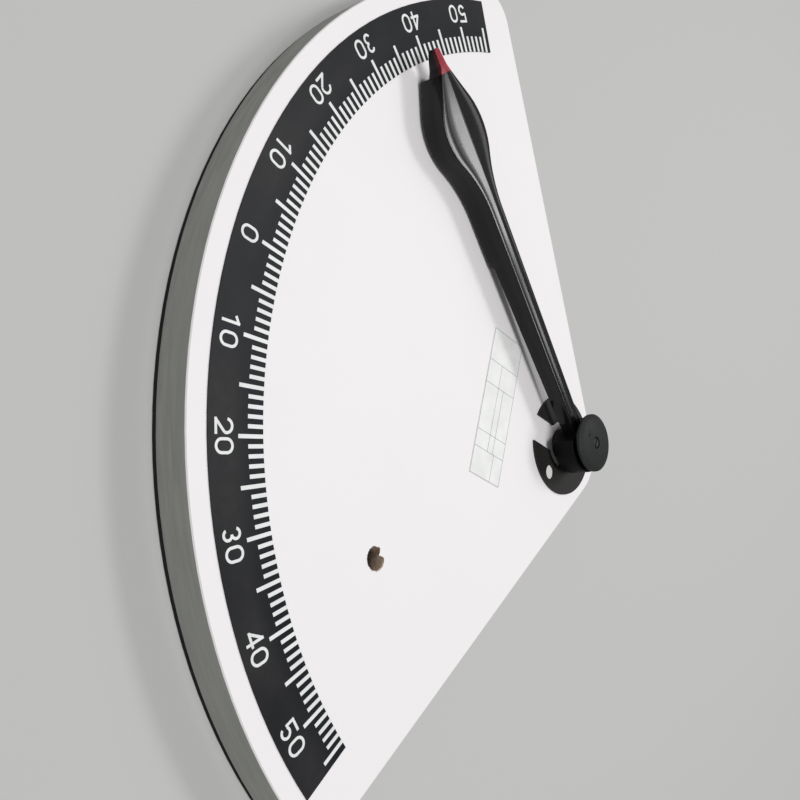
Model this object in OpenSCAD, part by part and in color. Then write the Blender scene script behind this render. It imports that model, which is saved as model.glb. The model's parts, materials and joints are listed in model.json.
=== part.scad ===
// Pendulum inclinometer for a wall or bulkhead.
// A sector board carries an arc scale; a weighted pointer hangs from the pivot near its apex.
// Frame: +X right and +Z up as seen by the reader, who looks along +Y.
// Origin: midway between the two mounting holes, on the board's back face.

/* [Board] */
// Thickness of the board
board_t = 15; // [12:0.5:24]
// Radius of the curved lower edge, from the pivot
arc_r = 200; // [180:1:260]
// Distance from the pivot to each straight edge
edge_offset = 26.5; // [24:0.5:40]
// Slope of the straight edges below the horizontal, in degrees
edge_slope = 36.5; // [25:0.5:45]
// Radius of the two lower corners
corner_r = 16; // [4:1:24]
// Radius of the apex
apex_r = 20; // [8:1:22]
// Chamfer round both faces
board_chamfer = 0.4; // [0.2:0.1:2]
// Distance between the two mounting holes
mount_spacing = 160; // [120:1:200]
// Distance from the pivot down to the line of the mounting holes
mount_drop = 100; // [70:1:115]
// Diameter of the mounting holes
mount_d = 9; // [4:0.5:12]

/* [Scale] */
// Width of the plain rim outside the black band
rim_w = 7.5; // [3:0.5:15]
// Radial width of the black band
band_w = 21.5; // [20:0.5:30]
// Thickness of the black band
band_t = 0.4; // [0.2:0.1:1]
// Half angle of the black band, in degrees
band_angle = 56; // [55.8:0.1:58]
// Half angle of the graduations, in degrees
scale_angle = 55; // [30:5:55]
// Width of each tick
tick_w = 1.3; // [0.6:0.1:1.8]
// Length of the one degree ticks
short_tick = 6.2; // [3:0.1:8]
// Length of the five degree ticks
long_tick = 10; // [8.5:0.1:11]
// Thickness of the ticks and numerals
mark_t = 0.12; // [0.05:0.01:0.3]
// Height of the numerals
digit_h = 7.1; // [4:0.1:7.4]
// Stroke width of the numerals
digit_stroke = 0.95; // [0.5:0.05:1.2]
// Gap between the long ticks and the numerals
digit_gap = 1.8; // [0.5:0.1:3]

/* [Label] */
// Width of the blank rating label
label_w = 63; // [40:1:80]
// Height of the blank rating label
label_h = 20; // [10:1:26]
// Thickness of the label
label_t = 0.2; // [0.1:0.05:0.5]
// Sideways place of the label's centre
label_x = 2; // [-10:1:10]
// Distance from the pivot down to the label's centre
label_drop = 49; // [40:1:70]

/* [Pivot foot] */
// Diameter of the foot
foot_d = 43.6; // [42:0.1:47]
// Thickness of the foot's plate
foot_t = 1; // [0.8:0.1:1.8]
// Width of the notch below the pivot
notch_w = 11.6; // [6:0.2:15]
// Width of the ring slot between the boss and the plate
slot_w = 3.4; // [2.6:0.1:4]
// Half angle over which the ring slot runs, in degrees
slot_angle = 95; // [60:1:105]
// Diameter of the three spare holes in the plate
foot_hole_d = 6.2; // [3:0.1:7]
// Angle of the two lower spare holes from straight down, in degrees
foot_hole_angle = 68; // [55:1:95]
// Diameter of the foot's boss
boss_d = 14; // [13.4:0.1:15]
// Height of the boss above the board
boss_h = 3.4; // [2.8:0.1:4.2]

/* [Pivot] */
// Diameter of the shoulder that the pointer turns on
shoulder_d = 8; // [6:0.1:9]
// Radial clearance between shoulder and bush
run_clear = 0.03; // [0.01:0.01:0.1]
// Axial clearance at each end of the hub
end_play = 0.05; // [0.03:0.01:0.2]
// Diameter of the stud's rear thread
rear_thread_d = 6; // [5:0.1:6]
// Radial clearance of the stud in the board and in the foot
stud_clear = 0.3; // [0.1:0.05:0.6]
// Diameter of the stud's front thread
front_thread_d = 5; // [4:0.1:5.4]
// Diameter of the stud's collar
collar_d = 11; // [10:0.1:11.8]
// Thickness of the stud's collar
collar_t = 1.2; // [0.8:0.1:1.6]
// Wall of the bush in the pointer's hub
bush_wall = 1.5; // [1:0.1:1.8]
// Thickness of the washers on both sides of the hub
thrust_t = 0.6; // [0.3:0.1:1]
// Diameter of the washers on both sides of the hub
thrust_d = 13.6; // [12:0.1:14]
// Diameter of the recess in the back of the board
recess_d = 20; // [18:0.5:26]
// Depth of the recess in the back of the board
recess_depth = 8; // [7.4:0.1:9]
// Diameter of the rear washer
rear_washer_d = 14; // [13:0.5:17]
// Thickness of the rear washer
rear_washer_t = 1.4; // [1:0.1:1.6]
// Thickness of the split lock washer
lock_washer_t = 1.4; // [1:0.1:1.6]
// Width across the flats of the rear nut
rear_nut_af = 10; // [9:0.1:11]
// Thickness of the rear nut
rear_nut_t = 3.6; // [2.5:0.1:3.8]
// Width across the flats of the front nut
front_nut_af = 8; // [7:0.1:9]
// Thickness of the front nut
front_nut_t = 2; // [1.5:0.1:3]

/* [Cap] */
// Diameter of the round cap over the pivot
cap_d = 24.7; // [22:0.1:30]
// Thickness of the cap above the front nut
cap_top = 1.8; // [1.6:0.1:3]
// Diameter of the cap's skirt
cap_skirt_d = 20; // [18:0.1:21]
// Gap between the cap's skirt and the hub
cap_gap = 0.4; // [0.2:0.05:0.6]
// Thickness of the cap's edge
cap_edge_t = 1; // [0.6:0.1:1.4]
// Width of the bevel between the cap's edge and its face
cap_bevel_w = 2.2; // [1:0.1:3]
// Height of that bevel
cap_bevel_h = 1.2; // [0.4:0.1:1.4]
// Diameter of the cap screw's shank
cap_screw_d = 2.5; // [2:0.1:3]
// Diameter of the cap screw's head
cap_screw_head_d = 4.2; // [4:0.1:5]
// Height of the cap screw's head
cap_screw_head_t = 0.9; // [0.7:0.1:1]
// Radial gap round the cap screw's head
cap_screw_gap = 0.5; // [0.2:0.05:0.8]

/* [Pointer] */
// Angle of the pointer from straight down at rest, in degrees
rest_angle = -38; // [-55:1:55]
// Height of the ridge along the pointer's top above the board
pointer_top = 12.2; // [11:0.1:12.6]
// Drop from the ridge to the edges of the leaf at its widest
ridge_rise = 1; // [0.4:0.1:1.4]
// Gap between the board and the deep skirt of the leaf
leaf_clear = 1.5; // [1:0.1:2.5]
// Gap between the board and the arm, at the hub
arm_clear = 5.7; // [4.5:0.1:6.5]
// Gap between the board and the arm, where the deep skirt starts
arm_clear_end = 3.1; // [2.6:0.1:4.2]
// Half width of the arm at the hub
arm_half = 3.2; // [2.6:0.1:4]
// Half width of the arm where it meets the leaf
neck_half = 4.3; // [3.6:0.1:5.5]
// Half width of the leaf
leaf_half = 13.5; // [11:0.1:16]
// Radius of the leaf's sides at its widest
leaf_r = 22.3; // [19:0.1:28]
// Width of the leaf where the red tip starts
tip_root_w = 7; // [6:0.1:9]
// Distance from the tip back to the leaf's widest place
leaf_back = 32.5; // [30:0.5:36]
// Radius that blends the arm into the leaf
neck_r = 45; // [25:1:60]
// Distance from the leaf's widest place back to the start of the deep skirt
skirt_back = 55; // [42:1:70]
// Length of the red tip
tip_len = 9.5; // [8:0.5:11]
// Width of the red tip's end
tip_end_w = 3; // [1:0.1:4]
// How far the tip reaches over the black band
tip_overlap = 3; // [1:0.5:6]
// Wall of the hollow pointer moulding
wall = 1.6; // [1.2:0.1:2]
// Diameter of the pointer's hub
hub_d = 25; // [23:0.1:28]
// Distance from the pivot to the flat on the hub, on the arm's side
hub_flat = 7.3; // [6.8:0.1:9]

/* [Ballast] */
// Thickness of the ballast plate in the leaf
ballast_t = 4.8; // [2:0.1:4.9]
// Gap between the ballast and the leaf's wall
ballast_clear = 0.4; // [0.2:0.1:1]
// Height of the bosses that the ballast seats on
ballast_boss_h = 1.4; // [1:0.1:1.6]
// Diameter of the two ballast screws
ballast_screw_d = 2.5; // [2:0.1:3]
// Distance between the two ballast screws
ballast_screw_pitch = 20; // [14:1:24]

/* [Hidden] */
$fn = 96;
// Overshoot of a cut past the face it leaves
cut = 1;

band_out = arc_r - rim_w;
band_in = band_out - band_w;
degrees_per_number = 10;
degrees_per_major = 5;
digit_w = digit_h * 0.72;
digit_space = 0.9;
digit_pitch = digit_w + digit_space;

// Places of the board's rounded corners
apex_y = (edge_offset - apex_r) / cos(edge_slope);
corner_angle = 90 - edge_slope + asin((edge_offset - corner_r) / (arc_r - corner_r));
corner_x = (arc_r - corner_r) * sin(corner_angle);
corner_y = -(arc_r - corner_r) * cos(corner_angle);
// The rounded corners start this far inside the edges they meet
corner_step = 0.02;

// Heights above the board's face, from the foot outwards
collar_seat = boss_h - collar_t;
hub_z0 = boss_h + thrust_t + end_play;
// The hub stands proud of the pointer's top, clear of the cap's skirt
hub_rise = 1.4;
hub_z1 = pointer_top + hub_rise;
shoulder_z1 = hub_z1 + end_play;
front_nut_z0 = shoulder_z1 + thrust_t;
front_nut_z1 = front_nut_z0 + front_nut_t;
cap_z0 = hub_z1 + cap_gap;
cap_z1 = front_nut_z1 + cap_top;
cap_edge_z0 = cap_z1 - cap_bevel_h - cap_edge_t;
cap_bore_d = thrust_d + 0.8;
// How far the top of the cap's screw lies below the cap's face
cap_screw_sunk = 0.2;
// How far the cap's screw reaches into the stud, below the hub's top
cap_screw_reach = 4;
cap_screw_z0 = hub_z1 - cap_screw_reach;

// Heights from the back of the board, inwards
rear_washer_z0 = recess_depth - rear_washer_t;
lock_washer_z0 = rear_washer_z0 - lock_washer_t;
rear_nut_z0 = lock_washer_z0 - rear_nut_t;
thread_end = 0.6;
stud_z0 = rear_nut_z0 - thread_end;

bush_id = shoulder_d + 2 * run_clear;
bush_od = bush_id + 2 * bush_wall;

// How much wider than its thread a washer's hole is
washer_slack = 0.2;

// The pointer's frame: pivot at the origin, tip towards -Y
tip_y = -(band_in + tip_overlap);
leaf_y = tip_y + leaf_back;
tip_root_y = tip_y + tip_len;
leaf_cx = leaf_half - leaf_r;
// Straight flank from the leaf's side to the tip's root: the direction across it
root_run = [tip_root_w / 2 - leaf_cx, leaf_y - tip_root_y];
flank_angle = atan2(root_run[1], root_run[0]) - acos(leaf_r / norm(root_run));
flank_across = [cos(flank_angle), -sin(flank_angle)];
skirt_y = leaf_y + skirt_back;
neck_run = sqrt(pow(leaf_r + neck_r, 2) - pow(neck_half + neck_r - leaf_cx, 2));
neck_y = leaf_y + neck_run;
neck_share = leaf_r / (leaf_r + neck_r);
// Thickness of the moulding at the edges of the leaf
skin = 1.4;
cavity_top = pointer_top - ridge_rise - skin;
// The arm is solid for this far out from the hub's flat
root_len = 5.4;
hub_wall_y = -(hub_flat + root_len);
ballast_z1 = cavity_top - ballast_boss_h;
ballast_z0 = ballast_z1 - ballast_t;
// Diameter of the ballast screws' heads and of the bosses they pull against
ballast_head_d = 2 * ballast_screw_d;

// Stands the face plane, drawn flat in XY, upright with its front towards -Y
module upright() {
    rotate([90, 0, 0]) children();
}

// Puts children on the pivot's axis, with z measured from the board's back face
module at_pivot() {
    upright() translate([0, mount_drop, 0]) children();
}

// Puts children on the pivot's axis, with z measured from the board's front face
module on_face() {
    at_pivot() translate([0, 0, board_t]) children();
}

// Puts children in the pointer's own frame, turned to the rest angle
module on_pointer() {
    on_face() rotate([0, 0, rest_angle]) children();
}

module both_sides() {
    children();
    mirror([1, 0, 0]) children();
}

// Extrudes a side profile, drawn as [y, z], across x
module across(width) {
    rotate([90, 0, 90]) linear_extrude(width, center = true) children();
}

module tube(d_out, d_in, h) {
    difference() {
        cylinder(d = d_out, h = h);
        translate([0, 0, -cut]) cylinder(d = d_in, h = h + 2 * cut);
    }
}

module hex(af, h) {
    cylinder(d = af / cos(30), h = h, $fn = 6);
}

// Profile out to radius r whose edges are chamfered, and which runs on past both faces
module edge_profile(r) {
    taper = board_chamfer + cut;
    polygon([[0, -cut], [r - taper, -cut], [r, board_chamfer], [r, board_t - board_chamfer],
             [r - taper, board_t + cut], [0, board_t + cut]]);
}

// All that lies on the inner side of one straight edge
module edge_side() {
    reach = 2 * arc_r;
    rotate([0, 0, 90 - edge_slope]) translate([-reach, 0, 0]) rotate([90, 0, 0])
        linear_extrude(2 * reach, center = true) edge_profile(reach + edge_offset);
}

// What a rounded corner leaves off, from one direction on through a sweep
module corner_waste(r, from, sweep) {
    side = 2 * r;
    end = side * [cos(sweep), sin(sweep)];
    rotate([0, 0, from]) difference() {
        translate([0, 0, -cut / 2]) linear_extrude(board_t + cut)
            polygon([[0, 0], [side, 0], [side + end[0], end[1]], end]);
        rotate_extrude() edge_profile(r - corner_step);
    }
}

// The board before drilling: a disc cut by two straight edges, with its corners rounded
module board_blank() {
    difference() {
        intersection() {
            cylinder(r = 2 * arc_r, h = board_t);
            rotate_extrude($fn = 360) edge_profile(arc_r);
            edge_side();
            mirror([1, 0, 0]) edge_side();
        }
        translate([0, apex_y, 0]) corner_waste(apex_r, 90 - edge_slope, 2 * edge_slope);
        both_sides() translate([corner_x, corner_y, 0])
            corner_waste(corner_r, corner_angle - 90, 180 - edge_slope - corner_angle);
    }
}

module board() {
    color([0.93, 0.93, 0.92]) difference() {
        at_pivot() board_blank();
        at_pivot() translate([0, 0, -cut]) cylinder(d = recess_d, h = recess_depth + cut);
        at_pivot() cylinder(d = rear_thread_d + 2 * stud_clear, h = board_t + cut);
        for (side = [-1, 1])
            upright() translate([side * mount_spacing / 2, 0, -cut])
                cylinder(d = mount_d, h = board_t + 2 * cut);
    }
}

module scale_band() {
    color([0.06, 0.065, 0.07]) on_face() rotate([0, 0, -90 - band_angle])
        rotate_extrude(angle = 2 * band_angle, $fn = 360)
            translate([band_in, 0]) square([band_w, band_t]);
}

module scale_ticks() {
    color([0.9, 0.91, 0.9]) on_face() for (a = [-scale_angle : scale_angle]) {
        length = a % degrees_per_major == 0 ? long_tick : short_tick;
        rotate([0, 0, a]) translate([-tick_w / 2, -band_in - length, band_t])
            cube([tick_w, length, mark_t]);
    }
}

// Part of a ring of stroke width, from angle a0 on through a sweep under 360 degrees
module stroke_arc(r, a0, sweep) {
    reach = 3 * digit_h;
    steps = 8;
    difference() {
        circle(r = r, $fn = 48);
        circle(r = r - digit_stroke, $fn = 48);
        polygon(concat([[0, 0]], [for (i = [0 : steps])
            reach * [cos(a0 + sweep + i * (360 - sweep) / steps),
                     sin(a0 + sweep + i * (360 - sweep) / steps)]]));
    }
}

// A straight stroke between two points
module stroke(a, b) {
    d = b - a;
    n = [-d[1], d[0]] / norm(d) * digit_stroke / 2;
    polygon([a - n, b - n, b + n, a + n]);
}

// One numeral from 0 to 5, its left foot at the origin
module digit(value) {
    half = digit_w / 2;
    mid = digit_stroke / 2;
    if (value == 0) {
        translate([half, half]) stroke_arc(half, 180, 180);
        translate([half, digit_h - half]) stroke_arc(half, 0, 180);
        translate([0, half]) square([digit_stroke, digit_h - digit_w]);
        translate([digit_w - digit_stroke, half]) square([digit_stroke, digit_h - digit_w]);
    }
    if (value == 1) {
        translate([half, 0]) square([digit_stroke, digit_h]);
        stroke([half * 0.3, digit_h * 0.74], [half + mid, digit_h - mid]);
    }
    if (value == 2) {
        translate([half, digit_h - half]) stroke_arc(half, -25, 195);
        stroke([mid, mid], [digit_w - digit_stroke * 0.75, digit_h - half * 1.35]);
        square([digit_w, digit_stroke]);
    }
    if (value == 3) {
        bowl = (digit_h + digit_stroke) / 4;
        translate([half, bowl]) stroke_arc(bowl, -160, 250);
        translate([half, digit_h - bowl]) stroke_arc(bowl, -90, 250);
    }
    if (value == 4) {
        translate([digit_w * 0.62, 0]) square([digit_stroke, digit_h]);
        translate([0, digit_h * 0.24]) square([digit_w, digit_stroke]);
        stroke([mid, digit_h * 0.24 + mid], [digit_w * 0.62 + mid, digit_h - mid]);
    }
    if (value == 5) {
        bowl = digit_h * 0.31;
        translate([bowl, bowl]) stroke_arc(bowl, -155, 290);
        translate([0, bowl * 1.45]) square([digit_stroke, digit_h - bowl * 1.45]);
        translate([0, digit_h - digit_stroke]) square([digit_w * 0.92, digit_stroke]);
    }
}

module numeral(value) {
    digits = value < 10 ? [value] : [floor(value / 10), value % 10];
    width = (len(digits) - 1) * digit_pitch + digit_w;
    for (i = [0 : len(digits) - 1])
        translate([i * digit_pitch - width / 2, 0]) digit(digits[i]);
}

module scale_numerals() {
    foot_r = band_in + long_tick + digit_gap + digit_h;
    last = degrees_per_number * floor(scale_angle / degrees_per_number);
    color([0.9, 0.91, 0.9]) on_face() for (a = [-last : degrees_per_number : last])
        rotate([0, 0, a]) translate([0, -foot_r, band_t])
            linear_extrude(mark_t) numeral(abs(a));
}

module rating_label() {
    color([0.88, 0.88, 0.86]) on_face() translate([label_x, -label_drop, label_t / 2])
        cube([label_w, label_h, label_t], center = true);
}

module pivot_foot() {
    hole_r = (foot_d / 2 + boss_d / 2 + slot_w) / 2;
    color([0.05, 0.05, 0.055]) on_face() difference() {
        union() {
            cylinder(d = foot_d, h = foot_t);
            cylinder(d = boss_d, h = boss_h);
        }
        difference() {
            union() {
                translate([-notch_w / 2, -foot_d, -cut]) cube([notch_w, foot_d, foot_t + 2 * cut]);
                rotate([0, 0, -90 - slot_angle]) rotate_extrude(angle = 2 * slot_angle)
                    translate([0, -cut]) square([boss_d / 2 + slot_w, foot_t + 2 * cut]);
            }
            translate([0, 0, -2 * cut]) cylinder(d = boss_d, h = foot_t + 4 * cut);
        }
        for (a = [-foot_hole_angle, foot_hole_angle, 180])
            rotate([0, 0, a]) translate([0, -hole_r, -cut])
                cylinder(d = foot_hole_d, h = foot_t + 2 * cut);
        translate([0, 0, collar_seat]) cylinder(d = collar_d + washer_slack, h = collar_t + cut);
        translate([0, 0, -cut]) cylinder(d = rear_thread_d + 2 * stud_clear, h = boss_h + 2 * cut);
    }
}

module pivot_stud() {
    color([0.62, 0.63, 0.65]) difference() {
        union() {
            at_pivot() translate([0, 0, stud_z0])
                cylinder(d = rear_thread_d, h = board_t + boss_h - stud_z0);
            on_face() translate([0, 0, collar_seat]) cylinder(d = collar_d, h = collar_t);
            on_face() translate([0, 0, collar_seat])
                cylinder(d = shoulder_d, h = shoulder_z1 - collar_seat);
            on_face() translate([0, 0, boss_h])
                cylinder(d = front_thread_d, h = front_nut_z1 - boss_h);
        }
        on_face() translate([0, 0, cap_screw_z0])
            cylinder(d = cap_screw_d, h = front_nut_z1 - cap_screw_z0 + cut);
    }
}

module rear_washer() {
    color([0.7, 0.7, 0.72]) at_pivot() translate([0, 0, rear_washer_z0])
        tube(rear_washer_d, rear_thread_d + washer_slack, rear_washer_t);
}

// Spring ring with a narrow split
module lock_washer() {
    split_angle = 8;
    ring_w = 1.9;
    color([0.55, 0.55, 0.57]) at_pivot() translate([0, 0, lock_washer_z0])
        rotate_extrude(angle = 360 - split_angle)
            translate([(rear_thread_d + washer_slack) / 2, 0]) square([ring_w, lock_washer_t]);
}

module rear_nut() {
    color([0.7, 0.7, 0.72]) at_pivot() translate([0, 0, rear_nut_z0]) difference() {
        hex(rear_nut_af, rear_nut_t);
        translate([0, 0, -cut]) cylinder(d = rear_thread_d, h = rear_nut_t + 2 * cut);
    }
}

module rear_thrust_washer() {
    color([0.85, 0.84, 0.8]) on_face() translate([0, 0, boss_h])
        tube(thrust_d, shoulder_d + washer_slack, thrust_t);
}

module front_thrust_washer() {
    color([0.85, 0.84, 0.8]) on_face() translate([0, 0, shoulder_z1])
        tube(thrust_d, front_thread_d + washer_slack, thrust_t);
}

module front_nut() {
    color([0.7, 0.7, 0.72]) on_face() translate([0, 0, front_nut_z0]) difference() {
        hex(front_nut_af, front_nut_t);
        translate([0, 0, -cut]) cylinder(d = front_thread_d, h = front_nut_t + 2 * cut);
    }
}

module pivot_cap() {
    r = cap_d / 2;
    head_seat = cap_z1 - cap_screw_sunk - cap_screw_head_t;
    color([0.13, 0.135, 0.14]) on_face() difference() {
        rotate_extrude() polygon([
            [0, cap_z0], [cap_skirt_d / 2, cap_z0], [cap_skirt_d / 2, cap_edge_z0], [r, cap_edge_z0],
            [r, cap_edge_z0 + cap_edge_t], [r - cap_bevel_w, cap_z1], [0, cap_z1]]);
        translate([0, 0, cap_z0 - cut]) cylinder(d = cap_bore_d, h = front_nut_z1 - cap_z0 + cut);
        translate([0, 0, front_nut_z1 - cut])
            cylinder(d = cap_screw_d + washer_slack, h = cap_top + 2 * cut);
        translate([0, 0, head_seat])
            cylinder(d = cap_screw_head_d + 2 * cap_screw_gap, h = cap_screw_head_t + cut);
    }
}

module cap_screw() {
    head_z1 = cap_z1 - cap_screw_sunk;
    end_z = cap_screw_z0 + thread_end;
    slot_width = 0.8;
    slot_depth = 0.4;
    color([0.2, 0.2, 0.21]) on_face() difference() {
        union() {
            translate([0, 0, end_z]) cylinder(d = cap_screw_d, h = head_z1 - end_z);
            translate([0, 0, head_z1 - cap_screw_head_t])
                cylinder(d = cap_screw_head_d, h = cap_screw_head_t);
        }
        translate([-cap_screw_head_d, -slot_width / 2, head_z1 - slot_depth])
            cube([2 * cap_screw_head_d, slot_width, slot_depth + cut]);
    }
}

// Outline of arm and leaf in the pointer's frame, drawn in by inset
module pointer_outline(inset = 0) {
    blend = [neck_half + neck_r, neck_y];
    leaf_c = [leaf_cx, leaf_y];
    touch = leaf_c + (leaf_r - inset) / (leaf_r + neck_r) * (blend - leaf_c);
    flank_start = leaf_c + (leaf_r - inset) * flank_across;
    flank_end = [tip_root_w / 2, tip_root_y] - inset * flank_across;
    both_sides()
        polygon([[0, flank_start[1]], flank_start, flank_end, [0, flank_end[1]]]);
    intersection() {
        translate([leaf_cx, leaf_y]) circle(r = leaf_r - inset, $fn = 180);
        translate([-leaf_cx, leaf_y]) circle(r = leaf_r - inset, $fn = 180);
    }
    polygon([[-arm_half + inset, 0], [arm_half - inset, 0], [neck_half - inset, neck_y],
             [-neck_half + inset, neck_y]]);
    both_sides() difference() {
        polygon([[0, neck_y], [neck_half - inset, neck_y], touch, [0, touch[1]]]);
        translate(blend) circle(r = neck_r + inset, $fn = 180);
    }
}

// All that lies under the pointer's ridged top
module under_ridge() {
    side = 2 * leaf_half;
    side_z = pointer_top - 2 * ridge_rise;
    rotate([90, 0, 0]) linear_extrude(2 * arc_r, center = true)
        polygon([[-side, 0], [side, 0], [side, side_z], [0, pointer_top], [-side, side_z]]);
}

// Arm and leaf as one block, stepped along its lower edge
module pointer_block() {
    intersection() {
        linear_extrude(pointer_top) pointer_outline();
        under_ridge();
        across(4 * leaf_half) polygon([
            [0, arm_clear], [0, pointer_top], [tip_root_y, pointer_top], [tip_root_y, leaf_clear],
            [skirt_y, leaf_clear], [skirt_y, arm_clear_end], [-hub_flat, arm_clear]]);
    }
}

// The pointer's hub: a thick disc with a flat on the side that the arm leaves
module hub_disc() {
    difference() {
        translate([0, 0, hub_z0]) cylinder(d = hub_d, h = hub_z1 - hub_z0);
        translate([-hub_d, -hub_flat - hub_d, 0]) cube([2 * hub_d, hub_d, 2 * hub_z1]);
    }
}

// Hollow of the moulding, open towards the board
module pointer_hollow() {
    intersection() {
        linear_extrude(cavity_top) pointer_outline(wall);
        across(4 * leaf_half) polygon([
            [hub_wall_y, -cut], [hub_wall_y, cavity_top], [tip_root_y + wall, cavity_top],
            [tip_root_y + wall, -cut]]);
    }
}

module ballast_outline(inset) {
    intersection() {
        translate([leaf_cx, leaf_y]) circle(r = leaf_r - inset, $fn = 180);
        translate([-leaf_cx, leaf_y]) circle(r = leaf_r - inset, $fn = 180);
        translate([-leaf_half, tip_root_y + inset])
            square([2 * leaf_half, 2 * (leaf_y - tip_root_y - inset)]);
    }
}

module at_ballast_screws() {
    for (end = [-1, 1]) translate([0, leaf_y + end * ballast_screw_pitch / 2, 0]) children();
}

module pointer_arm() {
    color([0.05, 0.05, 0.055]) on_pointer() difference() {
        union() {
            difference() {
                pointer_block();
                pointer_hollow();
            }
            hub_disc();
            at_ballast_screws() translate([0, 0, ballast_z1])
                cylinder(d = ballast_head_d, h = ballast_boss_h);
        }
        translate([0, 0, hub_z0 - cut]) cylinder(d = bush_od, h = hub_z1 - hub_z0 + 2 * cut);
        at_ballast_screws() translate([0, 0, ballast_z1 - cut])
            cylinder(d = ballast_screw_d, h = ballast_boss_h + skin / 2 + cut);
    }
}

// Red end of the pointer, glued face to face to the leaf
module pointer_tip() {
    root_depth = 6.6;
    end_depth = 4.2;
    end_drop = 0.6;
    waist = [0.31 * tip_root_w, tip_root_y - 0.27 * tip_len];
    color([0.75, 0.05, 0.06]) on_pointer() intersection() {
        linear_extrude(pointer_top) polygon([
            [-tip_root_w / 2, tip_root_y], [tip_root_w / 2, tip_root_y],
            waist, [tip_end_w / 2, tip_y], [-tip_end_w / 2, tip_y], [-waist[0], waist[1]]]);
        under_ridge();
        across(2 * tip_root_w) polygon([
            [tip_root_y, pointer_top - root_depth], [tip_root_y, pointer_top],
            [tip_y, pointer_top - end_drop], [tip_y, pointer_top - end_drop - end_depth]]);
    }
}

module hub_bush() {
    color([0.78, 0.6, 0.3]) on_pointer() translate([0, 0, hub_z0])
        tube(bush_od, bush_id, hub_z1 - hub_z0);
}

module pointer_ballast() {
    color([0.5, 0.5, 0.52]) on_pointer() difference() {
        translate([0, 0, ballast_z0]) linear_extrude(ballast_t)
            ballast_outline(wall + ballast_clear);
        at_ballast_screws() translate([0, 0, ballast_z0 - cut])
            cylinder(d = ballast_screw_d + washer_slack, h = ballast_t + 2 * cut);
    }
}

module ballast_screws() {
    head_t = 1.1;
    slot_width = 0.6;
    slot_depth = 0.5;
    head_z0 = ballast_z0 - head_t;
    color([0.6, 0.6, 0.62]) on_pointer() at_ballast_screws() difference() {
        union() {
            translate([0, 0, head_z0]) cylinder(d = ballast_head_d, h = head_t);
            translate([0, 0, head_z0])
                cylinder(d = ballast_screw_d, h = head_t + ballast_t + ballast_boss_h);
        }
        translate([-ballast_head_d, -slot_width / 2, head_z0 - cut])
            cube([2 * ballast_head_d, slot_width, slot_depth + cut]);
    }
}

board();
scale_band();
scale_ticks();
scale_numerals();
rating_label();
pivot_foot();
pivot_stud();
rear_washer();
lock_washer();
rear_nut();
rear_thrust_washer();
front_thrust_washer();
front_nut();
pivot_cap();
cap_screw();
pointer_arm();
pointer_tip();
hub_bush();
pointer_ballast();
ballast_screws();
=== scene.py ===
import json
import math

import bmesh
import bpy
from mathutils import Matrix, Vector, noise
from mathutils.bvhtree import BVHTree


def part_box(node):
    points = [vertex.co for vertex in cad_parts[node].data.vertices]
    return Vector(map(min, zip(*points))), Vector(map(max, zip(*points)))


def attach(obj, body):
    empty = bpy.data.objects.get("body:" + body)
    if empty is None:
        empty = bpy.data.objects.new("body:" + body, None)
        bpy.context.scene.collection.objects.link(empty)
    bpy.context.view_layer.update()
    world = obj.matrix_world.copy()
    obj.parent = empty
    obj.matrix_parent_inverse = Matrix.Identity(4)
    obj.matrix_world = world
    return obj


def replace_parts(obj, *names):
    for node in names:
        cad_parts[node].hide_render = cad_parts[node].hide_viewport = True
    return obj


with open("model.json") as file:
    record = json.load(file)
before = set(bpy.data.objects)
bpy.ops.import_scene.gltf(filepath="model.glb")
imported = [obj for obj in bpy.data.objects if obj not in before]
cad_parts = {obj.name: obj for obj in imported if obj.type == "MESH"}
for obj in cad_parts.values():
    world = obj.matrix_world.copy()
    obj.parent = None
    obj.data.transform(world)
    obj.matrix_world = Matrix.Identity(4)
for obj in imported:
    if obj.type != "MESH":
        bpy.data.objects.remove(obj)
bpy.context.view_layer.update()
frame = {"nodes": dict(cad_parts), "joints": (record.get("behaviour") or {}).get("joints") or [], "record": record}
MM = 0.001
record = frame["record"]
SLOTS = {row["node"]: row["material_slot"] for row in record["subparts"]}
BODIES = {node: body for body, nodes in record["behaviour"]["bodies"].items() for node in nodes}


def add_object(name, data):
    """A new object in the scene."""
    made = bpy.data.objects.new(name, data)
    bpy.context.scene.collection.objects.link(made)
    return made


# Camera, fitted to the printed degree ticks

CAMERA_PLACE = Vector((0.1437, -0.2483, -0.2421))
CAMERA_RIGHT = Vector((-0.19793, -0.74786, 0.63366))
CAMERA_UP = Vector((-0.91856, -0.08414, -0.38622))
CAMERA_FORWARD = Vector((-0.34215, 0.65850, 0.67031))
CAMERA_LENS = 44.134


def add_camera():
    data = bpy.data.cameras.new("camera")
    data.lens = CAMERA_LENS
    data.sensor_width = 36
    data.clip_start = 0.01
    camera = add_object("camera", data)
    turn = Matrix((CAMERA_RIGHT, CAMERA_UP, -CAMERA_FORWARD)).transposed().to_4x4()
    camera.matrix_world = Matrix.Translation(CAMERA_PLACE) @ turn
    bpy.context.scene.camera = camera


# Places and sizes read from the frame, in mm from the pivot and from the board's front

def box_centre(node):
    low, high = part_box(node)
    return (Vector(low) + Vector(high)) / 2


def heights(node):
    """The lowest and highest place of a node above the board's front."""
    low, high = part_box(node)
    return (FACE_Y - high[1]) / MM, (FACE_Y - low[1]) / MM


PIVOT = Vector(frame["joints"][0]["pos_m"])
FACE_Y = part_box("board")[0][1]
OUTWARD = Vector((0, -1, 0))

# The pointer's centre line runs from the pivot through the middle of the ballast's screws
TO_BALLAST = box_centre("ballast_screws") - PIVOT
TO_BALLAST.y = 0
ALONG = TO_BALLAST.normalized()
ACROSS = Vector((-ALONG.z, 0, ALONG.x))


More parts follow.
